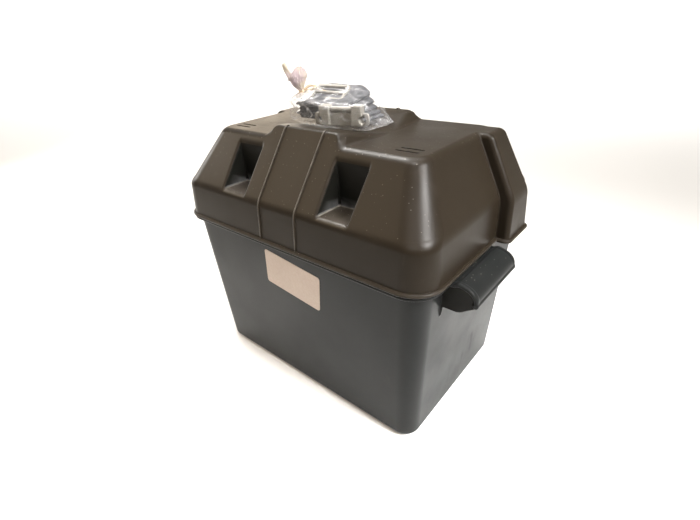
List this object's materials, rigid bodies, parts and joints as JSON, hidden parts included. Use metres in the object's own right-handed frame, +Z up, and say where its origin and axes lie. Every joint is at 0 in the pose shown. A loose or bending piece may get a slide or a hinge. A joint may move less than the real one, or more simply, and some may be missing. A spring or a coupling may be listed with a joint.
{
  "type": "battery box",
  "caption": "Moulded black battery box: drafted tub with end lift handles, lift-off vented lid with cable hoods, strap towers and finger pockets, and a tied bag of hold-down fittings on top.",
  "frame": {"origin": "centre of the box's footprint, on the plane of its underside", "axes": "+X along the length of the box, -Y towards the side with the label, +Z up"},
  "size_m": [0.3678, 0.22, 0.3322],
  "materials": {
    "tub": "black polypropylene, fine satin moulding",
    "lid": "black polypropylene, satin with a warm sheen",
    "label": "matt coated paper sticker, bare",
    "bag": "clear polythene film",
    "strap": "woven polypropylene webbing",
    "fitting_plastic": "light grey moulded nylon",
    "screw": "bright zinc plated steel"
  },
  "bodies": {
    "tub": {"tub": "tub", "label": "label"},
    "lid": {"lid": "lid"},
    "fittings_bag": {"bag": "bag", "hold_down_strap": "strap", "strap_buckle": "fitting_plastic", "hold_down_bracket_1": "fitting_plastic", "hold_down_bracket_2": "fitting_plastic", "bracket_screw_1": "screw", "bracket_screw_2": "screw", "bracket_screw_3": "screw", "bracket_screw_4": "screw"}
  },
  "joints": [
    {"name": "lid_lift", "type": "slide", "parent": "tub", "child": "lid", "axis": [0, 0, 1], "range_m": [0, 0.12]},
    {"name": "bag_lift", "type": "slide", "parent": "lid", "child": "fittings_bag", "axis": [0, 0, 1], "range_m": [0, 0.06]}
  ]
}
